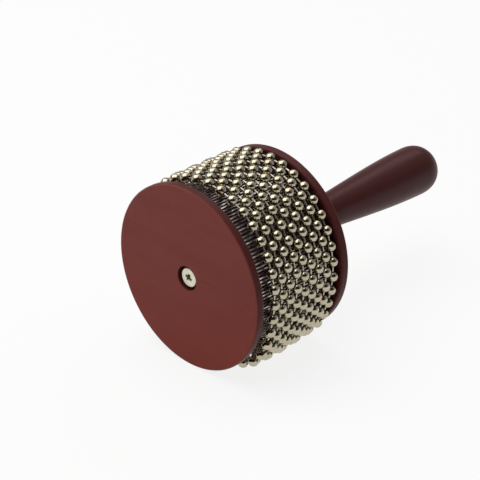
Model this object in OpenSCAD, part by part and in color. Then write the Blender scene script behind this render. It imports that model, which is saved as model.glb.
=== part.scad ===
// Cabasa: a wooden drum between two discs, wrapped in a ribbed steel sleeve and nine loose loops
// of ball chain, on a turned handle.
//
// It lies on the rims of its discs. +Y runs along the drum, from the front disc to the handle,
// +Z is up, and the origin is on the surface it lies on, below the middle of its whole length.
// Inside the file the drum stands on z = 0 with its front face and is laid down at the end.

/* [Discs] */
// Diameter of the front and the rear disc
disc_d = 90; // [75:1:120]
// Thickness of each disc
disc_t = 4.4; // [4:0.1:8]
// Radius of the rounded edges of the discs
disc_edge_r = 1; // [0.3:0.1:1.8]

/* [Sleeve] */
// Length of ribbed sleeve left bare between the front disc and the first loop
bare_len = 6.9; // [1:0.1:20]
// Thickness of the sheet steel
sheet_t = 0.4; // [0.2:0.05:0.6]
// Depth of the ribs
rib_depth = 0.8; // [0.4:0.1:1.2]
// Number of ribs round the sleeve
rib_count = 142; // [60:2:180]
// Width of the flat land on each side of the sleeve's seam
seam_land = 2.7; // [2.2:0.1:4]
// Gap between the two edges of the seam
seam_gap = 0.4; // [0.2:0.1:1]

/* [Ball chain] */
// Diameter of the balls
ball_d = 5.2; // [4.4:0.1:5.3]
// Wall of the hollow balls
ball_wall = 0.35; // [0.25:0.05:0.4]
// Wanted distance from ball to ball along a chain
ball_pitch = 7.6; // [7.2:0.1:9]
// Distance between neighbouring loops; less than a ball, as each ball stands in a gap of the next loop
loop_pitch = 4.73; // [4.63:0.02:6]
// Clear space between the last loop and the rear disc
last_gap = 0.26; // [0.2:0.02:2]
// Clear space between the balls and the ribs where a loop lies closest
rib_gap = 0.35; // [0.3:0.05:1]
// How far the rims of the discs stand out past the balls where a loop lies closest
rim_stand = 0.55; // [0.3:0.05:3]
// How far a loop lifts off the sleeve on top
top_lift = 1.3; // [0:0.1:2]
// How much further it lifts off half way down the side away from the first balls
side_lift = 0.85; // [0:0.05:1.5]
// How far the slack of the middle loop hangs out at its lower sides
sag = 4.8; // [2:0.1:5.3]
// Diameter of the link wire
link_d = 1; // [0.7:0.05:1.1]
// Diameter of the heads that keep a link in its balls
link_head_d = 1.9; // [1.7:0.05:2]

/* [Handle] */
// Length of the handle behind the rear disc
handle_len = 107; // [90:1:150]
// Diameter of the handle at the rear disc
neck_d = 13.2; // [12:0.2:16]
// Diameter of the handle at its widest place
belly_d = 24.9; // [20:0.1:32]
// Length of the rounded end behind the widest place
end_len = 13; // [12:0.5:26]
// How deep the neck sits in the drum, behind the rear disc
socket_depth = 6; // [4:0.5:12]

/* [Screw] */
// Diameter of the screw
screw_d = 5; // [4:0.1:5.5]
// Length of the screw under its head
screw_len = 60; // [56:1:66]
// Diameter of the screw's head
screw_head_d = 9.4; // [8:0.1:10.4]
// Height of the screw's head
screw_head_h = 1.9; // [1.6:0.1:2.2]
// How far the head lies below the front face
screw_sunk = 1.1; // [0.5:0.1:1.4]
// Diameter of the well round the head
well_d = 12; // [11:0.2:16]
// Diameter of the threaded insert in the handle
insert_d = 8.4; // [7.8:0.1:9]
// Length of the threaded insert
insert_len = 14; // [8:0.5:14]

/* [Hidden] */
// Loops of ball chain on the drum
loop_count = 9;
$fn = 64;

// Colours, as the photograph shows them
stain_c = [0.43, 0.21, 0.19];
grip_c = [0.30, 0.12, 0.12];
raw_wood_c = [0.72, 0.56, 0.38];
dark_steel_c = [0.20, 0.19, 0.19];
pale_nickel_c = [0.80, 0.77, 0.62];
bright_c = [0.86, 0.85, 0.78];
brass_c = [0.78, 0.62, 0.30];

// Overrun of every cut, and the play of parts that are pushed or glued together
over = 0.5;
fit_gap = 0.05;
glue_gap = 0.1;
bolt_gap = 0.3;

// Loops
ball_r = ball_d / 2;
ball_in_r = ball_r - ball_wall;
// Angle from the top, towards +X, at which each odd loop has a ball; even loops lie half a step on
first_ball_deg = 62.3;
// How far each loop has slipped round from that even stagger, towards larger angles
loop_slip = [-0.4, -0.3, 0.2, 0.6, 0, -0.25, 0, 0.05, 0.25];
// How much further out than the middle loop each loop's slack hangs
loop_hang = [0.3, 0.4, 0.4, 0.3, 0, -0.4, -0.7, -1.1, -1.4];
// The slack starts to hang at this angle from the top, and is widest past the middle of its span
sag_from_deg = 98;
sag_skew = 1.15;
// Where the slack would lie below the surface under the drum, it rests this far above it
floor_gap = 0.2;
path_step_deg = 2;

// Sleeve and drum
disc_r = disc_d / 2;
waist_r = disc_r - rim_stand - ball_r;
crest_r = waist_r - ball_r - rib_gap;
valley_r = crest_r - rib_depth;
core_r = valley_r - sheet_t - fit_gap;
sleeve_len = bare_len + (loop_count - 1) * loop_pitch + ball_d + last_gap;
drum_len = sleeve_len + 2 * disc_t;
rear_s = drum_len - disc_t;
whole_len = drum_len + handle_len;
land_deg = 2 * asin(seam_land / 2 / valley_r);
gap_deg = 2 * asin(seam_gap / 2 / valley_r);
rib_deg = (360 - gap_deg - 2 * land_deg) / rib_count;
// Where a rib rises, is flat, falls, and the valley starts, as shares of one rib's width
rib_shares = [0, 0.15, 0.5, 0.65];
// The seam is on the side away from the first balls, at this angle from the top
seam_deg = -100;

// Tacks that hold the two edges of the sleeve
tack_head_d = 1.7;
tack_head_t = 0.3;
tack_d = 0.9;
tack_len = 6;
tack_rows = 3;
tack_r = valley_r * cos(land_deg / 2);

// Links: the heads stand in the hollow balls, clear of their wall
link_play = 0.2;
link_head_t = 0.5;
link_hole_r = link_d / 2 + link_play;
link_head_out = sqrt(pow(ball_in_r - link_play, 2) - pow(link_head_d / 2, 2));

// Screw and insert
well_depth = screw_sunk + screw_head_h;
screw_hole_d = screw_d + 2 * bolt_gap;
neck_s = rear_s - socket_depth;
head_edge = 0.5;
recess_w = 1.1;
recess_span = 4.6;
recess_depth = 1.3;
recess_point_r = 1.2;
insert_sunk = 0.3;
insert_groove = 0.25;
insert_rings = 3;
drill_spare = 1.5;

// Handle outline
taper_steps = 28;
end_steps = 20;
// Share of the plain cone in the taper, which is otherwise an S-shaped curve
taper_cone_share = 0.1;
// The rounded end is a superellipse of this power, a little fuller than an ellipse
end_power = 2.4;
belly_s = whole_len - end_len;

// Radius of the path of a loop's balls' centres at an angle from the top
function lifted(a) = abs(a) < 90 ? top_lift * pow(cos(a), 2) + (a < 0 ? side_lift * pow(sin(2 * a), 2) : 0) : 0;
function hung(a, loop) =
    let (t = max(0, abs(a) - sag_from_deg) / (180 - sag_from_deg))
    (sag + loop_hang[loop - 1]) * pow(sin(180 * pow(t, sag_skew)), 2);
function floor_r(a) = abs(a) > 90 ? (disc_r - floor_gap - ball_r) / -cos(a) : disc_d;
function path_r(a, loop) = min(waist_r + lifted(a) + hung(a, loop), max(waist_r, floor_r(a)));
function path_point(deg, loop) =
    let (a = deg > 180 ? deg - 360 : deg)
    path_r(a, loop) * [-sin(a), cos(a)];

// The length of each loop's path up to each angle, as pairs that lookup() reads both ways
path_tables = [for (loop = [1 : loop_count])
    [for (deg = 0, len = 0; deg <= 360;
        len = len + norm(path_point(deg + path_step_deg, loop) - path_point(deg, loop)),
        deg = deg + path_step_deg)
        [deg, len]]];
angle_tables = [for (table = path_tables) [for (pair = table) [pair[1], pair[0]]]];
function path_len(loop) = lookup(360, path_tables[loop - 1]);
ball_count = round(path_len(ceil(loop_count / 2)) / ball_pitch);

function wrap(len, whole) = len - whole * floor(len / whole);
function ball_at(loop, k) =
    let (first = lookup(first_ball_deg, path_tables[loop - 1]) + loop_slip[loop - 1],
        len = first + (k + (loop % 2 == 0 ? 0.5 : 0)) * path_len(loop) / ball_count)
    path_point(lookup(wrap(len, path_len(loop)), angle_tables[loop - 1]), loop);
function loop_s(loop) = disc_t + bare_len + ball_r + (loop - 1) * loop_pitch;
function heading(v) = atan2(v[1], v[0]);

// Lays the standing drum down: its axis along +Y, at the height of the discs' radius
module laid_down() {
    translate([0, -whole_len / 2, disc_r]) rotate([90, 0, 180]) children();
}

// Turns children about the drum's axis, from the top towards +X
module at_angle(deg) {
    rotate([0, 0, deg]) children();
}

module disc_blank() {
    rotate_extrude($fn = 128) {
        square([disc_r - disc_edge_r, disc_t]);
        translate([0, disc_edge_r]) square([disc_r, disc_t - 2 * disc_edge_r]);
        translate([disc_r - disc_edge_r, disc_edge_r]) circle(r = disc_edge_r);
        translate([disc_r - disc_edge_r, disc_t - disc_edge_r]) circle(r = disc_edge_r);
    }
}

module front_disc() {
    color(stain_c) laid_down() difference() {
        disc_blank();
        translate([0, 0, -over]) cylinder(d = well_d, h = over + well_depth);
        translate([0, 0, -over]) cylinder(d = screw_hole_d, h = disc_t + 2 * over);
    }
}

module rear_disc() {
    color(stain_c) laid_down() translate([0, 0, rear_s]) difference() {
        disc_blank();
        translate([0, 0, -over]) cylinder(d = neck_d + 2 * glue_gap, h = disc_t + 2 * over);
    }
}

// Places children at each tack: z points away from the drum's axis, from the face of the land
module at_tacks() {
    for (side = [-1, 1], row = [1 : tack_rows])
        translate([0, 0, disc_t + sleeve_len * row / (tack_rows + 1)])
            at_angle(seam_deg + side * (gap_deg + land_deg) / 2)
                translate([0, tack_r, 0]) rotate([-90, 0, 0]) children();
}

module tack_hole() {
    translate([0, 0, -tack_len - over]) cylinder(d = tack_d + 2 * fit_gap, h = tack_len + 2 * over);
}

module core_drum() {
    color(raw_wood_c) laid_down() difference() {
        translate([0, 0, disc_t]) cylinder(r = core_r, h = sleeve_len, $fn = 128);
        cylinder(d = screw_hole_d, h = drum_len);
        translate([0, 0, neck_s]) cylinder(d = neck_d + 2 * glue_gap, h = drum_len);
        at_tacks() tack_hole();
    }
}

// Outer face of the ribbed sheet, from one edge of the seam round to the other, as [angle, radius]
function sheet_face() =
    let (start = seam_deg + gap_deg / 2)
    concat([[start, valley_r]],
        [for (i = [0 : rib_count - 1], j = [0 : len(rib_shares) - 1])
            [start + land_deg + (i + rib_shares[j]) * rib_deg, j == 1 || j == 2 ? crest_r : valley_r]],
        [for (deg = [land_deg, 0]) [seam_deg - gap_deg / 2 + 360 - deg, valley_r]]);
function sheet_points(inset) =
    [for (p = sheet_face()) (p[1] - inset) * [-sin(p[0]), cos(p[0])]];

module ribbed_sleeve() {
    outer = sheet_points(0);
    inner = sheet_points(sheet_t);
    ring = concat(outer, [for (i = [len(inner) - 1 : -1 : 0]) inner[i]]);
    color(dark_steel_c) laid_down() difference() {
        translate([0, 0, disc_t]) linear_extrude(sleeve_len) polygon(ring);
        at_tacks() tack_hole();
    }
}

module sleeve_tacks() {
    color(dark_steel_c) laid_down() at_tacks() {
        cylinder(d = tack_head_d, h = tack_head_t);
        translate([0, 0, -tack_len]) cylinder(d = tack_d, h = tack_len);
    }
}

// Pan head with a cross recess; the thread is a plain cylinder of its outer diameter
module clamp_screw() {
    color(bright_c) laid_down() difference() {
        union() {
            translate([0, 0, screw_sunk]) rotate_extrude() {
                square([screw_head_d / 2 - head_edge, screw_head_h]);
                translate([0, head_edge]) square([screw_head_d / 2, screw_head_h - head_edge]);
                translate([screw_head_d / 2 - head_edge, head_edge]) circle(r = head_edge);
            }
            translate([0, 0, well_depth]) cylinder(d = screw_d, h = screw_len);
        }
        translate([0, 0, screw_sunk - over]) {
            for (turn = [0, 90]) rotate([0, 0, turn])
                translate([-recess_span / 2, -recess_w / 2, 0]) cube([recess_span, recess_w, over + recess_depth]);
            cylinder(r = recess_point_r, h = over + recess_depth);
        }
    }
}

module threaded_insert() {
    ring_pitch = insert_len / (2 * insert_rings + 1);
    color(brass_c) laid_down() translate([0, 0, neck_s + insert_sunk]) difference() {
        cylinder(d = insert_d, h = insert_len);
        for (i = [1 : insert_rings]) translate([0, 0, (2 * i - 1) * ring_pitch]) difference() {
            cylinder(d = insert_d + over, h = ring_pitch);
            cylinder(d = insert_d - 2 * insert_groove, h = ring_pitch);
        }
        translate([0, 0, -over]) cylinder(d = screw_d + 2 * fit_gap, h = insert_len + 2 * over);
    }
}

// Outline of the handle from the rear disc to the rounded end, as [radius, distance from the front]
function taper_r(t) =
    (neck_d + (belly_d - neck_d) * ((1 - taper_cone_share) * t * t * (3 - 2 * t) + taper_cone_share * t)) / 2;
taper_points = [for (i = [0 : taper_steps])
    let (t = i / taper_steps) [taper_r(t), drum_len + t * (belly_s - drum_len)]];
end_points = [for (i = [1 : end_steps])
    let (t = sin(90 * i / end_steps))
    [i == end_steps ? 0 : belly_d / 2 * pow(1 - pow(t, end_power), 1 / end_power), belly_s + t * end_len]];

module handle() {
    color(grip_c) laid_down() difference() {
        rotate_extrude() polygon(concat([[0, neck_s], [neck_d / 2, neck_s]], taper_points, end_points));
        translate([0, 0, neck_s - over])
            cylinder(d = insert_d + 2 * fit_gap, h = over + insert_sunk + insert_len);
        translate([0, 0, neck_s]) cylinder(d = screw_hole_d, h = well_depth + screw_len + drill_spare - neck_s);
    }
}

// Hollow ball with a hole towards each of its two neighbours, which lie along x but for the bend
module ball(bend) {
    difference() {
        rotate([0, 0, 90]) sphere(ball_r);
        rotate([0, 0, 90]) sphere(ball_in_r);
        for (deg = [bend / 2, 180 - bend / 2]) rotate([0, 90, deg]) cylinder(r = link_hole_r, h = ball_d);
    }
}

module ball_loop(loop) {
    color(pale_nickel_c) laid_down() translate([0, 0, loop_s(loop)]) for (k = [0 : ball_count - 1]) {
        here = ball_at(loop, k);
        came = heading(here - ball_at(loop, k - 1));
        turned = heading(ball_at(loop, k + 1) - here) - came;
        bend = turned - 360 * round(turned / 360);
        translate(here) rotate([0, 0, came + bend / 2]) ball(bend);
    }
}

// Wire with a head at each end, along x, between the centres of two balls
module link(span) {
    neck = span / 2 - link_head_out;
    tip = neck + link_head_t;
    rotate([0, 90, 0]) rotate_extrude() polygon([
        [0, -tip], [link_head_d / 2, -tip], [link_head_d / 2, -neck], [link_d / 2, -neck],
        [link_d / 2, neck], [link_head_d / 2, neck], [link_head_d / 2, tip], [0, tip]]);
}

module loop_links(loop) {
    color(pale_nickel_c) laid_down() translate([0, 0, loop_s(loop)]) for (k = [0 : ball_count - 1]) {
        here = ball_at(loop, k);
        next = ball_at(loop, k + 1);
        translate((here + next) / 2) rotate([0, 0, heading(next - here)]) link(norm(next - here));
    }
}

front_disc();
rear_disc();
core_drum();
ribbed_sleeve();
sleeve_tacks();
clamp_screw();
threaded_insert();
handle();
for (loop = [1 : loop_count]) {
    ball_loop(loop);
    loop_links(loop);
}
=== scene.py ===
"""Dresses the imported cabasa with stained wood, ribbed steel and ball chain, and sets a studio."""

import math

import bmesh
import bpy
import numpy as np
from bpy.props import FloatProperty, FloatVectorProperty, IntProperty, PointerProperty
from mathutils import Matrix, Vector


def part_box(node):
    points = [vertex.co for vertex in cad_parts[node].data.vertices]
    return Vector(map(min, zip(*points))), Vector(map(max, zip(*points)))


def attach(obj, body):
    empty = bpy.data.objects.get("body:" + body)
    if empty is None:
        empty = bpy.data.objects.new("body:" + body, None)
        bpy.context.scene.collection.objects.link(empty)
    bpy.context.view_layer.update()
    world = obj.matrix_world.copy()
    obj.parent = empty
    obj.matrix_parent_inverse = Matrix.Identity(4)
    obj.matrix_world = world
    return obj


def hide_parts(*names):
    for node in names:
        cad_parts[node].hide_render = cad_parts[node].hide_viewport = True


bl_info = {
    "name": "Cabasa",
    "version": (1, 0, 0),
    "blender": (4, 5, 0),
    "location": "3D View > Sidebar > Cabasa",
    "description": "Builds the visible pieces and finishes of a hand cabasa round its packed frame",
    "category": "Object",
}

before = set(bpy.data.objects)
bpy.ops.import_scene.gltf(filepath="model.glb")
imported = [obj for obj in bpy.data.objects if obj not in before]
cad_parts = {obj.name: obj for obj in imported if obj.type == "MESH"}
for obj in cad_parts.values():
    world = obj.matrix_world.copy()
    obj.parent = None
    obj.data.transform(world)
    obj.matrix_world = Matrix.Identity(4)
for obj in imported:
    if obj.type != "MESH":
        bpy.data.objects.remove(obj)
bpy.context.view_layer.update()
MM = 0.001
LOOPS = range(1, 10)


def node_size(node):
    """Size of a frame node's box, in metres."""
    low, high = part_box(node)
    return high - low


FRONT_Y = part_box("front_disc")[0].y
DISC_DEPTH = node_size("front_disc").y
DISC_RADIUS = node_size("front_disc").x / 2
REAR_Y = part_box("rear_disc")[0].y
BACK_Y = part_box("rear_disc")[1].y
AXIS_Z = sum(corner.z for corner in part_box("clamp_screw")) / 2
HEAD_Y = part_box("clamp_screw")[0].y
HEAD_RADIUS = node_size("clamp_screw").x / 2
NECK_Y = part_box("handle")[0].y
END_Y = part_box("handle")[1].y
BELLY_RADIUS = node_size("handle").x / 2
CREST_RADIUS = node_size("ribbed_sleeve").x / 2
BALL_RADIUS = node_size("ball_loop_1").y / 2
AXIS = Vector((0, 0, AXIS_Z))

# How near points count as on the axis, as one point and as on a ring
ON_AXIS = 0.001 * MM
DOUBLES = 0.002 * MM
ON_RING = 0.02 * MM

# Faces round a turned piece, and faces over a rounded edge
DISC_STEPS = 128
HANDLE_STEPS = 72
SCREW_STEPS = 64
RIM_SEGMENTS = 5
WELL_SEGMENTS = 2
HEAD_SEGMENTS = 4
HEAD_EDGE = 0.5 * MM

# Angles in degrees past which an edge is shaded sharp
SHARP_DEG = 35
HANDLE_SHARP_DEG = 50
BALL_SHARP_DEG = 50
WIRE_SHARP_DEG = 60

# Wood near the rims, where its stain is rubbed thin and a highlight is painted on, and the painted
# shade at the bottom of the screw's recess
RIM_WEAR_AND_HIGHLIGHT = (0.30, 0.075, 0.040)
RECESS_SHADE = (0.16, 0.15, 0.10)

# The way to the dark opening, and the colour of the walls' foot
OPENING = (0.611, -0.729, 0.309)
FOOT_COLOUR = (0.74, 0.74, 0.73)

# Half the floor's width in metres, and the film's width in millimetres
FLOOR_HALF = 12
SENSOR_WIDTH = 36


class DiscSettings(bpy.types.PropertyGroup):
    """Sizes and colours of the two wooden discs."""

    edge: FloatProperty(
        name="Edge radius", description="Radius of the rounded rims", default=1 * MM, unit="LENGTH"
    )
    well_radius: FloatProperty(
        name="Well radius", description="Radius of the well round the screw's head",
        default=6 * MM, unit="LENGTH",
    )
    well_depth: FloatProperty(
        name="Well depth", description="Depth of the well below the front face",
        default=3 * MM, unit="LENGTH",
    )
    bolt_radius: FloatProperty(
        name="Bolt hole", description="Radius of the hole for the screw",
        default=2.8 * MM, unit="LENGTH",
    )
    neck_radius: FloatProperty(
        name="Neck hole", description="Radius of the rear disc's hole",
        default=6.7 * MM, unit="LENGTH",
    )
    stain: FloatVectorProperty(
        name="Stain", description="Main colour of the stained wood", subtype="COLOR",
        default=(0.211, 0.045, 0.037),
    )
    stain_dark: FloatVectorProperty(
        name="Dark grain", description="Colour of the darker grain", subtype="COLOR",
        default=(0.172, 0.036, 0.031),
    )
    # Painted reflection: the lower part of the faces is redder, standing in for the paler
    # reflection on the upper part
    low_painted_red: FloatVectorProperty(
        name="Low stain", description="Redder colour of the lower part of the faces",
        subtype="COLOR", default=(0.231, 0.030, 0.016),
    )
    # Painted shade: the darker colour given to the rims, inner faces and well, where shade falls
    painted_shade_colour: FloatVectorProperty(
        name="Edge stain", description="Colour of the rims, inner faces and well", subtype="COLOR",
        default=(0.085, 0.019, 0.018),
    )


class SleeveSettings(bpy.types.PropertyGroup):
    """Finish of the ribbed sheet-steel sleeve."""

    crest: FloatVectorProperty(
        name="Crest", description="Colour of the bright crests of the ribs", subtype="COLOR",
        default=(0.92, 0.86, 0.80),
    )
    # The colour between the ribs is tarnish with painted shade, darker where shade falls in the
    # valleys
    valley: FloatVectorProperty(
        name="Valley", description="Colour of the tarnish between the ribs", subtype="COLOR",
        default=(0.100, 0.052, 0.068),
    )
    rib_depth: FloatProperty(
        name="Rib depth", description="Height of the ribs over the valleys",
        default=0.8 * MM, unit="LENGTH",
    )


class ChainSettings(bpy.types.PropertyGroup):
    """Shape and finish of the ball chain."""

    around: IntProperty(
        name="Faces around", description="Faces round a ball", default=12, min=8, max=24
    )
    along: IntProperty(
        name="Faces along", description="Faces from hole to hole", default=8, min=6, max=16
    )
    dimple: FloatProperty(
        name="Hole depth", description="How deep a link's hole is seen to go",
        default=0.45 * MM, unit="LENGTH",
    )
    wire_radius: FloatProperty(
        name="Wire radius", description="Radius of the link wires", default=0.5 * MM, unit="LENGTH"
    )
    ball_colour: FloatVectorProperty(
        name="Ball", description="Colour of the polished balls", subtype="COLOR",
        default=(0.50, 0.455, 0.35),
    )
    wire_colour: FloatVectorProperty(
        name="Wire", description="Colour of the link wires", subtype="COLOR",
        default=(0.58, 0.52, 0.43),
    )


class HandleSettings(bpy.types.PropertyGroup):
    """Outline and stain of the turned handle."""

    neck_radius: FloatProperty(
        name="Neck", description="Radius at the rear disc", default=6.6 * MM, unit="LENGTH"
    )
    end_length: FloatProperty(
        name="End", description="Length of the rounded end", default=13 * MM, unit="LENGTH"
    )
    stain: FloatVectorProperty(
        name="Stain", description="Main colour of the stained handle", subtype="COLOR",
        default=(0.072, 0.0125, 0.012),
    )
    stain_dark: FloatVectorProperty(
        name="Dark grain", description="Colour of the darker grain", subtype="COLOR",
        default=(0.052, 0.0095, 0.0095),
    )


class ScrewSettings(bpy.types.PropertyGroup):
    """The clamp screw's head and shank."""

    head_height: FloatProperty(
        name="Head height", description="Height of the head", default=1.9 * MM, unit="LENGTH"
    )
    shank_radius: FloatProperty(
        name="Shank", description="Radius of the shank", default=2.5 * MM, unit="LENGTH"
    )
    recess_span: FloatProperty(
        name="Recess span", description="Width across the cross recess",
        default=4.6 * MM, unit="LENGTH",
    )
    recess_width: FloatProperty(
        name="Recess width", description="Width of each wing of the recess",
        default=1.9 * MM, unit="LENGTH",
    )
    recess_depth: FloatProperty(
        name="Recess depth", description="Depth of the cross recess",
        default=1.3 * MM, unit="LENGTH",
    )
    plating: FloatVectorProperty(
        name="Plating", description="Colour of the nickel plating", subtype="COLOR",
        default=(0.76, 0.72, 0.59),
    )


class StageSettings(bpy.types.PropertyGroup):
    """Camera, lamps and floor of the studio."""

    lens: FloatProperty(name="Lens", description="Focal length in millimetres", default=156.2)
    azimuth: FloatProperty(
        name="Azimuth", description="Camera's bearing round the object", subtype="ANGLE",
        default=math.radians(45.26),
    )
    elevation: FloatProperty(
        name="Elevation", description="Camera's height as an angle", subtype="ANGLE",
        default=math.radians(28.52),
    )
    distance: FloatProperty(
        name="Distance", description="From the aim point to the camera",
        default=0.9567, unit="LENGTH",
    )
    aim: FloatVectorProperty(
        name="Aim", description="Point in the middle of the picture", subtype="XYZ",
        default=(-0.0001, -0.0491, 0.0518),
    )
    floor_colour: FloatVectorProperty(
        name="Floor", description="Colour of the pale floor", subtype="COLOR",
        default=(0.90, 0.90, 0.89),
    )
    whiteness: FloatProperty(
        name="Whiteness", description="How far the floor is whitened where it is seen or mirrored",
        default=0.85, min=0, max=1,
    )


def settings(name):
    """The scene's settings of one kind."""
    return getattr(bpy.context.scene, "cabasa_" + name)


# Shaping


def lathe(outline, steps):
    """A closed body turned from a closed outline of (radius, y) points about the drum's axis."""
    bm = bmesh.new()
    verts = [bm.verts.new((radius, y, AXIS_Z)) for radius, y in outline]
    ring = zip(verts, verts[1:] + verts[:1])
    off_axis = [pair for pair in ring if any(axis_distance(vert.co) > ON_AXIS for vert in pair)]
    edges = [bm.edges.new(pair) for pair in off_axis]
    bmesh.ops.spin(
        bm, geom=verts + edges, cent=AXIS, axis=(0, 1, 0), angle=math.tau, steps=steps,
        use_merge=True,
    )
    bmesh.ops.remove_doubles(bm, verts=bm.verts, dist=DOUBLES)
    bmesh.ops.recalc_face_normals(bm, faces=bm.faces)
    return bm


def axis_distance(point):
    """Distance of a point from the drum's axis."""
    return math.hypot(point.x, point.z - AXIS_Z)


def ring_edges(bm, radius, y):
    """Edges of the circle that lies at this radius and place along the axis."""
    def on_ring(vert):
        return max(abs(axis_distance(vert.co) - radius), abs(vert.co.y - y)) < ON_RING
    return [edge for edge in bm.edges if all(on_ring(vert) for vert in edge.verts)]


def round_edges(bm, edges, radius, segments):
    """Rounds edges with a bevel of that many faces."""
    bmesh.ops.bevel(
        bm, geom=edges, offset=radius, offset_type="OFFSET", segments=segments, profile=0.5,
        affect="EDGES", material=-1, clamp_overlap=True,
    )


def make_piece(name, bm, material, body, replaced, sharp_deg=SHARP_DEG):
    """Turns a bmesh into a smooth-shaded piece that rides on a body and stands for a frame node."""
    mesh = bpy.data.meshes.new(name)
    bm.to_mesh(mesh)
    bm.free()
    mesh.polygons.foreach_set("use_smooth", [True] * len(mesh.polygons))
    mesh.set_sharp_from_angle(angle=math.radians(sharp_deg))
    mesh.materials.append(material)
    piece = bpy.data.objects.new(name, mesh)
    bpy.context.scene.collection.objects.link(piece)
    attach(piece, body)
    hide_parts(replaced)
    return piece


def weigh_normals(piece):
    """Keeps the flat faces beside rounded edges looking flat."""
    modifier = piece.modifiers.new("Flat faces", "WEIGHTED_NORMAL")
    modifier.keep_sharp = True


# Materials


class Nodes:
    """A short way to write a node tree."""

    def __init__(self, tree):
        self.tree = tree

    def add(self, kind, **values):
        """Adds a node; values are node settings, or sockets named with spaces as underscores."""
        node = self.tree.nodes.new(kind)
        for name, value in values.items():
            if hasattr(node, name):
                setattr(node, name, value)
            else:
                node.inputs[name.replace("_", " ")].default_value = value
        return node

    def link(self, source, target):
        """Joins an output socket to an input socket."""
        self.tree.links.new(source, target)

    def math(self, operation, first, second=None):
        """A Math node on sockets or numbers; returns its output."""
        node = self.tree.nodes.new("ShaderNodeMath")
        node.operation = operation
        for index, value in enumerate((first, second)):
            if value is None:
                continue
            if isinstance(value, (int, float)):
                node.inputs[index].default_value = value
            else:
                self.link(value, node.inputs[index])
        return node.outputs[0]

    def dot(self, vector, way):
        """How far a vector goes along a fixed direction, as a socket."""
        node = self.add("ShaderNodeVectorMath", operation="DOT_PRODUCT")
        self.link(vector, node.inputs[0])
        node.inputs[1].default_value = way
        return node.outputs["Value"]

    def ramp(self, factor, stops):
        """A colour ramp over (position, grey or colour) stops; returns its colour."""
        node = self.tree.nodes.new("ShaderNodeValToRGB")
        ramp = node.color_ramp
        while len(ramp.elements) < len(stops):
            ramp.elements.new(0.5)
        for element, (position, colour) in zip(ramp.elements, stops):
            element.position = position
            grey = isinstance(colour, (int, float))
            element.color = (colour, colour, colour, 1) if grey else (*colour, 1)
        self.link(factor, node.inputs[0])
        return node.outputs[0]

    def mix(self, factor, first, second, blend="MIX"):
        """Mixes two colours, each a socket or three numbers; returns the result."""
        node = self.tree.nodes.new("ShaderNodeMix")
        node.data_type = "RGBA"
        node.blend_type = blend
        for name, value in (("Factor", factor), ("A", first), ("B", second)):
            sockets = [s for s in node.inputs if s.name == name and s.enabled]
            if isinstance(value, bpy.types.NodeSocket):
                self.link(value, sockets[0])
            elif isinstance(value, (int, float)):
                sockets[0].default_value = value
            else:
                sockets[0].default_value = (*value, 1)
        return [s for s in node.outputs if s.enabled][0]

    def noise(self, vector, scale, detail=2, roughness=0.5, stretch=(1, 1, 1), turn=(0, 0, 0)):
        """Noise on a stretched and turned copy of a vector; returns its grey value."""
        mapping = self.add("ShaderNodeMapping")
        mapping.inputs["Scale"].default_value = stretch
        mapping.inputs["Rotation"].default_value = turn
        noise = self.add("ShaderNodeTexNoise", Scale=scale, Detail=detail, Roughness=roughness)
        self.link(vector, mapping.inputs["Vector"])
        self.link(mapping.outputs[0], noise.inputs["Vector"])
        return noise.outputs[0]

    def bump(self, height, strength, distance):
        """A bump from a height; returns its normal."""
        node = self.add("ShaderNodeBump", Strength=strength, Distance=distance)
        self.link(height, node.inputs["Height"])
        return node.outputs[0]

    def seen_or_mirrored(self):
        """1 for the camera's rays and for glossy and transmitted ones, 0 for the rest."""
        path = self.add("ShaderNodeLightPath").outputs
        seen = self.math("MAXIMUM", path["Is Camera Ray"], path["Is Glossy Ray"])
        return self.math("MAXIMUM", seen, path["Is Transmission Ray"])


def new_material(name):
    """A new material; returns it, its node writer, its shader and its Object coordinates."""
    material = bpy.data.materials.new(name)
    material.use_nodes = True
    material.node_tree.nodes.clear()
    nodes = Nodes(material.node_tree)
    shader = nodes.add("ShaderNodeBsdfPrincipled")
    out = nodes.add("ShaderNodeOutputMaterial")
    nodes.link(shader.outputs[0], out.inputs[0])
    place = nodes.add("ShaderNodeTexCoord").outputs["Object"]
    return material, nodes, shader, place


def stained_wood(
    name, stain, dark, grain_stretch, gloss, lacquer=(0, 0), turn=(0, 0, 0), extra=None
):
    """Close-grained stained hardwood, which a function given as extra may colour further.

    gloss is its least roughness, and lacquer the weight and roughness of a clear coat.
    """
    material, nodes, shader, place = new_material(name)
    grain = {"stretch": grain_stretch, "turn": turn}
    figure = nodes.noise(place, scale=70, detail=5, roughness=0.6, **grain)
    pores = nodes.noise(place, scale=900, detail=3, roughness=0.65, **grain)
    cloud = nodes.noise(place, scale=22)
    warm = [stain[0] * 1.12, stain[1] * 0.85, stain[2] * 0.75]
    in_pores = [c * 0.5 for c in dark]
    colour = nodes.mix(nodes.ramp(figure, [(0.35, 0.0), (0.68, 1.0)]), stain, dark)
    colour = nodes.mix(nodes.ramp(pores, [(0.60, 0.0), (0.74, 0.5)]), colour, in_pores)
    colour = nodes.mix(nodes.ramp(cloud, [(0.35, 0.0), (0.7, 0.4)]), colour, warm)
    if extra:
        colour = extra(nodes, place, colour)
    nodes.link(colour, shader.inputs["Base Color"])
    uneven = nodes.noise(place, scale=160, detail=3, roughness=0.6)
    nodes.link(nodes.ramp(uneven, [(0.3, gloss), (0.75, gloss + 0.12)]), shader.inputs["Roughness"])
    shader.inputs["Specular IOR Level"].default_value = 0.13
    shader.inputs["Coat Weight"].default_value = lacquer[0]
    shader.inputs["Coat Roughness"].default_value = lacquer[1]
    halves = [nodes.math("MULTIPLY", part, 0.5) for part in (pores, figure)]
    height = nodes.math("ADD", *halves)
    nodes.link(nodes.bump(height, strength=0.08, distance=0.15 * MM), shader.inputs["Normal"])
    return material


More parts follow.
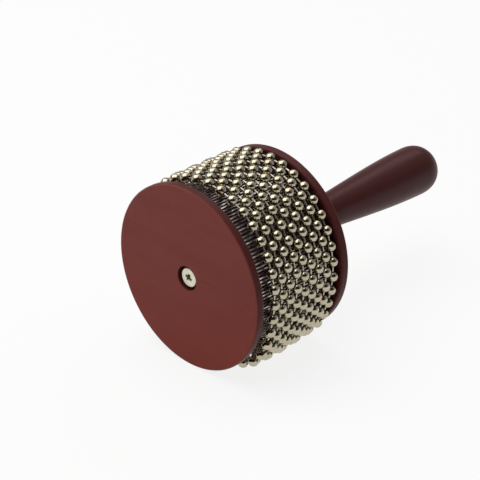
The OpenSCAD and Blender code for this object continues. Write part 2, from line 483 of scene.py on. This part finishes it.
def axis_radius(nodes, place):
    """The distance from the drum's axis in millimetres, and the node that splits the place."""
    split = nodes.add("ShaderNodeSeparateXYZ")
    nodes.link(place, split.inputs[0])
    side = nodes.math("MULTIPLY", split.outputs["X"], split.outputs["X"])
    lift = nodes.math("SUBTRACT", split.outputs["Z"], AXIS_Z)
    lift = nodes.math("MULTIPLY", lift, lift)
    return nodes.math("DIVIDE", nodes.math("SQRT", nodes.math("ADD", side, lift)), MM), split


def rim_wear_and_painted_light(nodes, place, colour):
    """Redder low down as a painted reflection, lighter near the rims where stain is thin with a
    painted highlight, and painted shade on the rims, inner faces and well.
    """
    discs = settings("discs")
    radius, split = axis_radius(nodes, place)
    from_front = nodes.math("SUBTRACT", split.outputs["Y"], FRONT_Y)
    from_back = nodes.math("SUBTRACT", BACK_Y, split.outputs["Y"])
    depth = nodes.math("DIVIDE", nodes.math("MINIMUM", from_front, from_back), discs.edge)
    # Painted reflection: the faces turn redder towards the bottom
    height = nodes.math("DIVIDE", split.outputs["Z"], 2 * DISC_RADIUS)
    colour = nodes.mix(nodes.ramp(height, [(0.1, 0.75), (0.8, 0)]), colour, tuple(discs.low_painted_red))
    # Lighter, redder wood near the rims: stain rubbed thin, with a painted highlight on the rounded
    # edge
    share = nodes.math("DIVIDE", radius, DISC_RADIUS / MM)
    worn_and_lit = nodes.ramp(share, [(0.0, 0), (0.980, 0), (0.989, 0.7), (0.996, 0)])
    patchy = nodes.ramp(nodes.noise(place, scale=120, detail=3), [(0.35, 0.4), (0.6, 1)])
    colour = nodes.mix(nodes.math("MULTIPLY", worn_and_lit, patchy), colour, RIM_WEAR_AND_HIGHLIGHT)
    # Painted shade on the rims, inner faces and well, deeper the further a surface lies from the
    # outer faces
    shaded = nodes.ramp(depth, [(0.15, 0), (0.85, 1)])
    return nodes.mix(shaded, colour, tuple(discs.painted_shade_colour))


def polished_balls(colour):
    """Bright nickel-plated balls with fine handling marks."""
    material, nodes, shader, place = new_material("polished_nickel_balls")
    haze = nodes.noise(place, scale=260, detail=3, roughness=0.6)
    fine = nodes.noise(place, scale=2600, roughness=0.6)
    yellowed = [channel * share for channel, share in zip(colour, (0.90, 0.86, 0.78))]
    tint = nodes.mix(nodes.ramp(haze, [(0.38, 0.0), (0.66, 1.0)]), colour, yellowed)
    nodes.link(tint, shader.inputs["Base Color"])
    shader.inputs["Metallic"].default_value = 1
    nodes.link(nodes.ramp(fine, [(0.3, 0.09), (0.75, 0.18)]), shader.inputs["Roughness"])
    nodes.link(nodes.bump(fine, strength=0.05, distance=0.05 * MM), shader.inputs["Normal"])
    return material


def drawn_wire(colour):
    """Drawn link wire, duller than the balls."""
    material, nodes, shader, place = new_material("drawn_link_wire")
    dull = nodes.noise(place, scale=700, detail=3, roughness=0.6)
    tint = nodes.mix(nodes.ramp(dull, [(0.35, 0), (0.7, 1)]), colour, [c * 0.55 for c in colour])
    nodes.link(tint, shader.inputs["Base Color"])
    shader.inputs["Metallic"].default_value = 1
    nodes.link(nodes.ramp(dull, [(0.3, 0.28), (0.75, 0.45)]), shader.inputs["Roughness"])
    return material


def ribbed_steel(crest, valley, rib_depth):
    """Rolled sheet steel, bright on the crests of its ribs and dark between them, where the valley
    colour is tarnish with painted shade.
    """
    material, nodes, shader, place = new_material("ribbed_steel")
    radius, _ = axis_radius(nodes, place)
    height = nodes.math("SUBTRACT", radius, (CREST_RADIUS - rib_depth) / MM)
    height = nodes.math("DIVIDE", height, rib_depth / MM)
    scuff = nodes.noise(place, scale=520, detail=4, roughness=0.65, stretch=(1, 0.35, 1))
    patches = nodes.ramp(scuff, [(0.42, 0.10), (0.58, 1)])
    # Painted shade: the valleys between the ribs take the dark valley colour, together with
    # tarnish, while the crests stay bright
    rubbed_and_unshaded = nodes.math("MULTIPLY", nodes.ramp(height, [(0.35, 0), (0.97, 1)]), patches)
    nodes.link(nodes.mix(rubbed_and_unshaded, valley, crest), shader.inputs["Base Color"])
    nodes.link(nodes.ramp(rubbed_and_unshaded, [(0, 0.25), (0.5, 1)]), shader.inputs["Metallic"])
    nodes.link(nodes.ramp(scuff, [(0.3, 0.18), (0.7, 0.38)]), shader.inputs["Roughness"])
    nodes.link(nodes.bump(scuff, strength=0.25, distance=0.1 * MM), shader.inputs["Normal"])
    return material


def plated_screw(colour, recess_floor_y):
    """Satin nickel plating, with painted shade towards the bottom of the recess."""
    material, nodes, shader, place = new_material("plated_screw")
    haze = nodes.noise(place, scale=500, detail=3, roughness=0.6)
    split = nodes.add("ShaderNodeSeparateXYZ")
    nodes.link(place, split.inputs[0])
    depth = nodes.math("SUBTRACT", split.outputs["Y"], HEAD_Y)
    depth = nodes.math("DIVIDE", depth, recess_floor_y - HEAD_Y)
    base = nodes.mix(nodes.ramp(haze, [(0.35, 0), (0.7, 0.6)]), colour, [c * 0.82 for c in colour])
    # Painted shade deepening towards the bottom of the cross recess
    base = nodes.mix(nodes.ramp(depth, [(0.1, 0), (0.9, 0.9)]), base, RECESS_SHADE)
    nodes.link(base, shader.inputs["Base Color"])
    shader.inputs["Metallic"].default_value = 1
    nodes.link(nodes.ramp(haze, [(0.3, 0.34), (0.7, 0.48)]), shader.inputs["Roughness"])
    return material


def plain_core_wood():
    """Unstained turned hardwood of the hidden core."""
    return stained_wood(
        "core_wood", stain=(0.52, 0.34, 0.18), dark=(0.38, 0.22, 0.10),
        grain_stretch=(1, 0.15, 1), gloss=0.6,
    )


def plain_metal(name, colour, roughness):
    """Cast or turned metal of a hidden small part."""
    material, nodes, shader, place = new_material(name)
    speck = nodes.noise(place, scale=900, detail=3, roughness=0.6)
    tint = nodes.mix(nodes.ramp(speck, [(0.35, 0), (0.7, 1)]), colour, [c * 0.7 for c in colour])
    nodes.link(tint, shader.inputs["Base Color"])
    shader.inputs["Metallic"].default_value = 1
    rough = nodes.ramp(speck, [(0.3, roughness), (0.7, roughness + 0.15)])
    nodes.link(rough, shader.inputs["Roughness"])
    return material


def finish_node(node, material):
    """Gives a frame node that is shown as it is a material of its own."""
    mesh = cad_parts[node].data
    mesh.materials.clear()
    mesh.materials.append(material)


# Pieces


def disc_wood():
    """The discs' wood, made once."""
    made = bpy.data.materials.get("disc_mahogany")
    if made:
        return made
    discs = settings("discs")
    return stained_wood(
        "disc_mahogany", tuple(discs.stain), tuple(discs.stain_dark),
        grain_stretch=(0.16, 1, 1), gloss=0.42, turn=(0, math.radians(24), 0), extra=rim_wear_and_painted_light,
    )


class CABASA_OT_front_disc(bpy.types.Operator):
    """Turn the front disc with its rounded rims and the well for the screw"""

    bl_idname = "cabasa.front_disc"
    bl_label = "Front disc"

    def execute(self, context):
        discs = settings("discs")
        floor_y = FRONT_Y + discs.well_depth
        inner_y = FRONT_Y + DISC_DEPTH
        bm = lathe([
            (discs.bolt_radius, floor_y), (discs.well_radius, floor_y),
            (discs.well_radius, FRONT_Y), (DISC_RADIUS, FRONT_Y),
            (DISC_RADIUS, inner_y), (discs.bolt_radius, inner_y),
        ], DISC_STEPS)
        rims = ring_edges(bm, DISC_RADIUS, FRONT_Y) + ring_edges(bm, DISC_RADIUS, inner_y)
        round_edges(bm, rims, discs.edge, RIM_SEGMENTS)
        well_edge = discs.edge / 5
        round_edges(bm, ring_edges(bm, discs.well_radius, FRONT_Y), well_edge, WELL_SEGMENTS)
        wood = disc_wood()
        weigh_normals(make_piece("turned_front_disc", bm, wood, "drum", "front_disc"))
        return {"FINISHED"}


class CABASA_OT_rear_disc(bpy.types.Operator):
    """Turn the rear disc with its rounded rims and the hole for the handle's neck"""

    bl_idname = "cabasa.rear_disc"
    bl_label = "Rear disc"

    def execute(self, context):
        discs = settings("discs")
        bm = lathe([
            (discs.neck_radius, REAR_Y), (DISC_RADIUS, REAR_Y),
            (DISC_RADIUS, BACK_Y), (discs.neck_radius, BACK_Y),
        ], DISC_STEPS)
        rims = ring_edges(bm, DISC_RADIUS, REAR_Y) + ring_edges(bm, DISC_RADIUS, BACK_Y)
        round_edges(bm, rims, discs.edge, RIM_SEGMENTS)
        wood = disc_wood()
        weigh_normals(make_piece("turned_rear_disc", bm, wood, "drum", "rear_disc"))
        return {"FINISHED"}


def handle_outline(handle):
    """Outline of the handle: an S-shaped taper, then an end a little fuller than an ellipse."""
    taper_steps, end_steps, cone_share, end_power = 28, 18, 0.1, 2.4
    belly_y = END_Y - handle.end_length
    points = [(0, NECK_Y), (handle.neck_radius, NECK_Y)]
    for step in range(taper_steps + 1):
        t = step / taper_steps
        swell = (1 - cone_share) * t * t * (3 - 2 * t) + cone_share * t
        radius = handle.neck_radius + (BELLY_RADIUS - handle.neck_radius) * swell
        points.append((radius, BACK_Y + t * (belly_y - BACK_Y)))
    for step in range(1, end_steps + 1):
        t = math.sin(math.pi / 2 * step / end_steps)
        radius = BELLY_RADIUS * max(0, 1 - t ** end_power) ** (1 / end_power)
        points.append((radius, belly_y + t * handle.end_length))
    return points


class CABASA_OT_handle(bpy.types.Operator):
    """Turn the handle from its neck in the drum to its rounded end"""

    bl_idname = "cabasa.handle"
    bl_label = "Handle"

    def execute(self, context):
        handle = settings("handle")
        wood = stained_wood(
            "handle_mahogany", tuple(handle.stain), tuple(handle.stain_dark),
            grain_stretch=(1, 0.14, 1), gloss=0.45, lacquer=(0.18, 0.20),
        )
        bm = lathe(handle_outline(handle), HANDLE_STEPS)
        make_piece("turned_handle", bm, wood, "drum", "handle", HANDLE_SHARP_DEG)
        return {"FINISHED"}


class CABASA_OT_sleeve(bpy.types.Operator):
    """Finish the ribbed steel sleeve, its tacks, the core and the insert"""

    bl_idname = "cabasa.sleeve"
    bl_label = "Sleeve and hidden parts"

    def execute(self, context):
        sleeve = settings("sleeve")
        sheet = ribbed_steel(tuple(sleeve.crest), tuple(sleeve.valley), sleeve.rib_depth)
        finish_node("ribbed_sleeve", sheet)
        steel = plain_metal("tack_steel", colour=(0.30, 0.29, 0.28), roughness=0.35)
        finish_node("sleeve_tacks", steel)
        finish_node("core_drum", plain_core_wood())
        brass = plain_metal("insert_brass", colour=(0.78, 0.57, 0.24), roughness=0.25)
        finish_node("threaded_insert", brass)
        return {"FINISHED"}


def ball_centres(node):
    """Centres of a loop's balls in the frame, in order round the drum."""
    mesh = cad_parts[node].data
    points = np.zeros(len(mesh.vertices) * 3)
    mesh.vertices.foreach_get("co", points)
    points = points.reshape(-1, 3)
    angles = np.arctan2(points[:, 0], points[:, 2] - AXIS_Z)
    order = np.argsort(angles)
    points, angles = points[order], angles[order]
    gap = math.radians(1.5)
    breaks = np.flatnonzero(np.diff(angles) > gap) + 1
    groups = np.split(points, breaks)
    if angles[0] + math.tau - angles[-1] < gap:
        groups[0] = np.vstack([groups.pop(), groups[0]])
    return [Vector((g.min(0) + g.max(0)) / 2) for g in groups]


def place_copies(template, places):
    """One bmesh of a template bmesh set at each place."""
    mesh = bpy.data.meshes.new("template")
    template.to_mesh(mesh)
    template.free()
    bm = bmesh.new()
    for place in places:
        known = set(bm.verts)
        bm.from_mesh(mesh)
        bmesh.ops.transform(bm, matrix=place, verts=[v for v in bm.verts if v not in known])
    bpy.data.meshes.remove(mesh)
    return bm


def along(direction, middle):
    """A place at the middle point, with its z along the direction and its x along the drum."""
    z = direction.normalized()
    x = Vector((0, 1, 0))
    return Matrix.Translation(middle) @ Matrix((x, z.cross(x), z)).transposed().to_4x4()


def ball_template(chain):
    """A ball with a dished hole at each pole, where the links go in."""
    bm = bmesh.new()
    bmesh.ops.create_uvsphere(
        bm, u_segments=chain.around, v_segments=chain.along, radius=BALL_RADIUS
    )
    near_pole = 0.1 * BALL_RADIUS
    poles = [v for v in bm.verts if math.hypot(v.co.x, v.co.y) < near_pole]
    bmesh.ops.dissolve_verts(bm, verts=poles)
    caps = [f for f in bm.faces if len(f.verts) == chain.around]
    for cap in caps:
        side = math.copysign(1, cap.calc_center_median().z)
        sunk = bmesh.ops.extrude_discrete_faces(bm, faces=[cap])["faces"]
        bmesh.ops.translate(bm, verts=sunk[0].verts, vec=(0, 0, -side * chain.dimple))
    bmesh.ops.recalc_face_normals(bm, faces=bm.faces)
    return bm


class CABASA_OT_ball_loops(bpy.types.Operator):
    """String the nine loops of hollow balls on their link wires"""

    bl_idname = "cabasa.ball_loops"
    bl_label = "Loops of ball chain"

    def execute(self, context):
        chain = settings("chain")
        balls = polished_balls(tuple(chain.ball_colour))
        wire = drawn_wire(tuple(chain.wire_colour))
        for loop in LOOPS:
            body, ball_node, link_node = f"loop_{loop}", f"ball_loop_{loop}", f"loop_links_{loop}"
            centres = ball_centres(ball_node)
            nexts = centres[1:] + centres[:1]
            lasts = centres[-1:] + centres[:-1]
            places = [along(n - l, c) for l, c, n in zip(lasts, centres, nexts)]
            bm = place_copies(ball_template(chain), places)
            make_piece(
                f"ball_chain_{loop}", bm, balls, body, ball_node, BALL_SHARP_DEG
            )
            rod = bmesh.new()
            span = (nexts[0] - centres[0]).length
            bmesh.ops.create_cone(
                rod, cap_ends=True, segments=8, radius1=chain.wire_radius,
                radius2=chain.wire_radius, depth=span - BALL_RADIUS,
            )
            spans = [along(n - c, (n + c) / 2) for c, n in zip(centres, nexts)]
            bm = place_copies(rod, spans)
            make_piece(
                f"link_wires_{loop}", bm, wire, body, link_node, WIRE_SHARP_DEG
            )
        return {"FINISHED"}


def cut(piece, cutter_bm):
    """Cuts a closed bmesh out of a piece and applies the cut."""
    mesh = bpy.data.meshes.new("cutter")
    cutter_bm.to_mesh(mesh)
    cutter_bm.free()
    cutter = bpy.data.objects.new("cutter", mesh)
    bpy.context.scene.collection.objects.link(cutter)
    modifier = piece.modifiers.new("Recess", "BOOLEAN")
    modifier.operation = "DIFFERENCE"
    modifier.solver = "EXACT"
    modifier.object = cutter
    graph = bpy.context.evaluated_depsgraph_get()
    solid = bpy.data.meshes.new_from_object(piece.evaluated_get(graph))
    piece.modifiers.clear()
    old, piece.data = piece.data, solid
    solid.name = piece.name
    bpy.data.meshes.remove(old)
    bpy.data.objects.remove(cutter)
    bpy.data.meshes.remove(mesh)


def cross_cutter(screw):
    """Cross recess, narrower at its floor, as a closed body that stands out of the head."""
    bm = bmesh.new()
    over, head_turn, floor_share = 0.5 * MM, math.radians(20), 0.62
    half, wing = screw.recess_span / 2, screw.recess_width / 2
    wing_corners = ((half, wing), (half, -wing), (wing, -wing))
    corners = []
    for quarter in range(4):
        turn = Matrix.Rotation(quarter * math.pi / 2 + head_turn, 3, "Y")
        corners += [turn @ Vector((x, -over, z)) for x, z in wing_corners]
    mouth = bm.faces.new([bm.verts.new(corner) for corner in corners])
    floor = bmesh.ops.extrude_face_region(bm, geom=[mouth])["geom"]
    deep = [part for part in floor if isinstance(part, bmesh.types.BMVert)]
    bmesh.ops.translate(bm, verts=deep, vec=(0, screw.recess_depth + over, 0))
    bmesh.ops.scale(bm, vec=(floor_share, 1, floor_share), verts=deep)
    bmesh.ops.translate(bm, verts=bm.verts, vec=(0, HEAD_Y, AXIS_Z))
    bmesh.ops.recalc_face_normals(bm, faces=bm.faces)
    return bm


class CABASA_OT_screw(bpy.types.Operator):
    """Turn the clamp screw and cut the cross recess in its head"""

    bl_idname = "cabasa.screw"
    bl_label = "Clamp screw"

    def execute(self, context):
        screw = settings("screw")
        seat_y = HEAD_Y + screw.head_height
        tip_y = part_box("clamp_screw")[1].y
        bm = lathe([
            (0, HEAD_Y), (HEAD_RADIUS, HEAD_Y), (HEAD_RADIUS, seat_y),
            (screw.shank_radius, seat_y), (screw.shank_radius, tip_y), (0, tip_y),
        ], SCREW_STEPS)
        round_edges(bm, ring_edges(bm, HEAD_RADIUS, HEAD_Y), HEAD_EDGE, HEAD_SEGMENTS)
        plated = plated_screw(tuple(screw.plating), HEAD_Y + screw.recess_depth)
        piece = make_piece("cross_head_screw", bm, plated, "drum", "clamp_screw")
        cut(piece, cross_cutter(screw))
        piece.data.set_sharp_from_angle(angle=math.radians(SHARP_DEG))
        weigh_normals(piece)
        return {"FINISHED"}


# Studio


def studio_world():
    """Pale walls, a dark opening, and a paler foot that is mirrored but gives no diffuse light."""
    world = bpy.data.worlds.new("studio")
    bpy.context.scene.world = world
    world.use_nodes = True
    world.node_tree.nodes.clear()
    nodes = Nodes(world.node_tree)
    direction = nodes.add("ShaderNodeTexCoord").outputs["Generated"]
    split = nodes.add("ShaderNodeSeparateXYZ")
    nodes.link(direction, split.inputs[0])
    walls = nodes.ramp(split.outputs["Z"], [(0.0, 0.26), (0.5, 0.34), (1.0, 0.60)])
    dimmed = nodes.ramp(nodes.dot(direction, OPENING), [(0.15, 1.0), (0.55, 0.07)])
    tent = nodes.mix(1.0, walls, dimmed, "MULTIPLY")
    foot = nodes.ramp(split.outputs["Z"], [(0.115, 1.0), (0.14, 0.0)])
    foot = nodes.math("MULTIPLY", foot, nodes.seen_or_mirrored())
    background = nodes.add("ShaderNodeBackground", Strength=1.0)
    nodes.link(nodes.mix(foot, tent, FOOT_COLOUR), background.inputs["Color"])
    out = nodes.add("ShaderNodeOutputWorld")
    nodes.link(background.outputs[0], out.inputs[0])


def softbox(name, direction, distance, size, power):
    """A square area lamp that looks at the drum from a direction."""
    lamp = bpy.data.lights.new(name, "AREA")
    lamp.shape = "SQUARE"
    lamp.size = size
    lamp.energy = power
    box = bpy.data.objects.new(name, lamp)
    bpy.context.scene.collection.objects.link(box)
    way = Vector(direction).normalized()
    box.location = AXIS + way * distance
    box.rotation_euler = way.to_track_quat("Z", "Y").to_euler()


def pale_floor(colour, whiteness):
    """A wide pale floor that looks whiter than it is lit, and keeps a share of the shadow."""
    material, nodes, shader, place = new_material("pale_floor")
    grain = nodes.noise(place, scale=6)
    tint = nodes.mix(grain, tuple(colour), [c * 0.985 for c in colour])
    nodes.link(tint, shader.inputs["Base Color"])
    shader.inputs["Roughness"].default_value = 0.9
    blend = nodes.add("ShaderNodeMixShader")
    nodes.link(nodes.math("MULTIPLY", nodes.seen_or_mirrored(), whiteness), blend.inputs[0])
    nodes.link(shader.outputs[0], blend.inputs[1])
    nodes.link(nodes.add("ShaderNodeEmission", Strength=1.0).outputs[0], blend.inputs[2])
    nodes.link(blend.outputs[0], material.node_tree.get_output_node("ALL").inputs[0])
    bm = bmesh.new()
    bmesh.ops.create_grid(bm, x_segments=2, y_segments=2, size=FLOOR_HALF)
    mesh = bpy.data.meshes.new("floor")
    bm.to_mesh(mesh)
    bm.free()
    mesh.materials.append(material)
    floor = bpy.data.objects.new("floor", mesh)
    bpy.context.scene.collection.objects.link(floor)


class CABASA_OT_stage(bpy.types.Operator):
    """Set the floor, the lamps and the camera"""

    bl_idname = "cabasa.stage"
    bl_label = "Studio"

    def execute(self, context):
        stage = settings("stage")
        scene = context.scene
        scene.view_settings.view_transform = "Standard"
        studio_world()
        pale_floor(stage.floor_colour, stage.whiteness)
        softbox("key_softbox", direction=(-0.33, -0.24, 0.91), distance=1.1, size=1.4, power=13)
        softbox("back_softbox", direction=(-0.24, 0.62, 0.74), distance=1.2, size=0.5, power=1)
        camera = bpy.data.cameras.new("camera")
        camera.lens = stage.lens
        camera.sensor_width = SENSOR_WIDTH
        camera.clip_start = 10 * MM
        eye = bpy.data.objects.new("camera", camera)
        scene.collection.objects.link(eye)
        back = Vector((
            math.sin(stage.azimuth) * math.cos(stage.elevation),
            -math.cos(stage.azimuth) * math.cos(stage.elevation),
            math.sin(stage.elevation),
        ))
        eye.location = Vector(stage.aim) + back * stage.distance
        eye.rotation_euler = (math.pi / 2 - stage.elevation, 0, stage.azimuth)
        scene.camera = eye
        return {"FINISHED"}


class CABASA_PT_panel(bpy.types.Panel):
    """Lists the pieces in the sidebar"""

    bl_label = "Cabasa"
    bl_idname = "CABASA_PT_panel"
    bl_space_type = "VIEW_3D"
    bl_region_type = "UI"
    bl_category = "Cabasa"

    def draw(self, context):
        for operator in OPERATORS:
            self.layout.operator(operator.bl_idname)
        for name in SETTINGS:
            box = self.layout.box()
            group = settings(name)
            for prop in type(group).__annotations__:
                box.prop(group, prop)


SETTINGS = {
    "discs": DiscSettings,
    "sleeve": SleeveSettings,
    "chain": ChainSettings,
    "handle": HandleSettings,
    "screw": ScrewSettings,
    "stage": StageSettings,
}
OPERATORS = (
    CABASA_OT_front_disc,
    CABASA_OT_rear_disc,
    CABASA_OT_handle,
    CABASA_OT_sleeve,
    CABASA_OT_ball_loops,
    CABASA_OT_screw,
    CABASA_OT_stage,
)


def register():
    """Registers the settings, the operators and the panel."""
    for kind in (*SETTINGS.values(), *OPERATORS, CABASA_PT_panel):
        bpy.utils.register_class(kind)
    for name, kind in SETTINGS.items():
        setattr(bpy.types.Scene, "cabasa_" + name, PointerProperty(type=kind))


def unregister():
    """Takes the panel, the operators and the settings out again."""
    for name in SETTINGS:
        delattr(bpy.types.Scene, "cabasa_" + name)
    for kind in reversed((*SETTINGS.values(), *OPERATORS, CABASA_PT_panel)):
        bpy.utils.unregister_class(kind)


def main():
    """Builds every piece and the studio, in order."""
    register()
    bpy.ops.cabasa.front_disc()
    bpy.ops.cabasa.rear_disc()
    bpy.ops.cabasa.handle()
    bpy.ops.cabasa.sleeve()
    bpy.ops.cabasa.ball_loops()
    bpy.ops.cabasa.screw()
    bpy.ops.cabasa.stage()


if __name__ == "__main__":
    main()
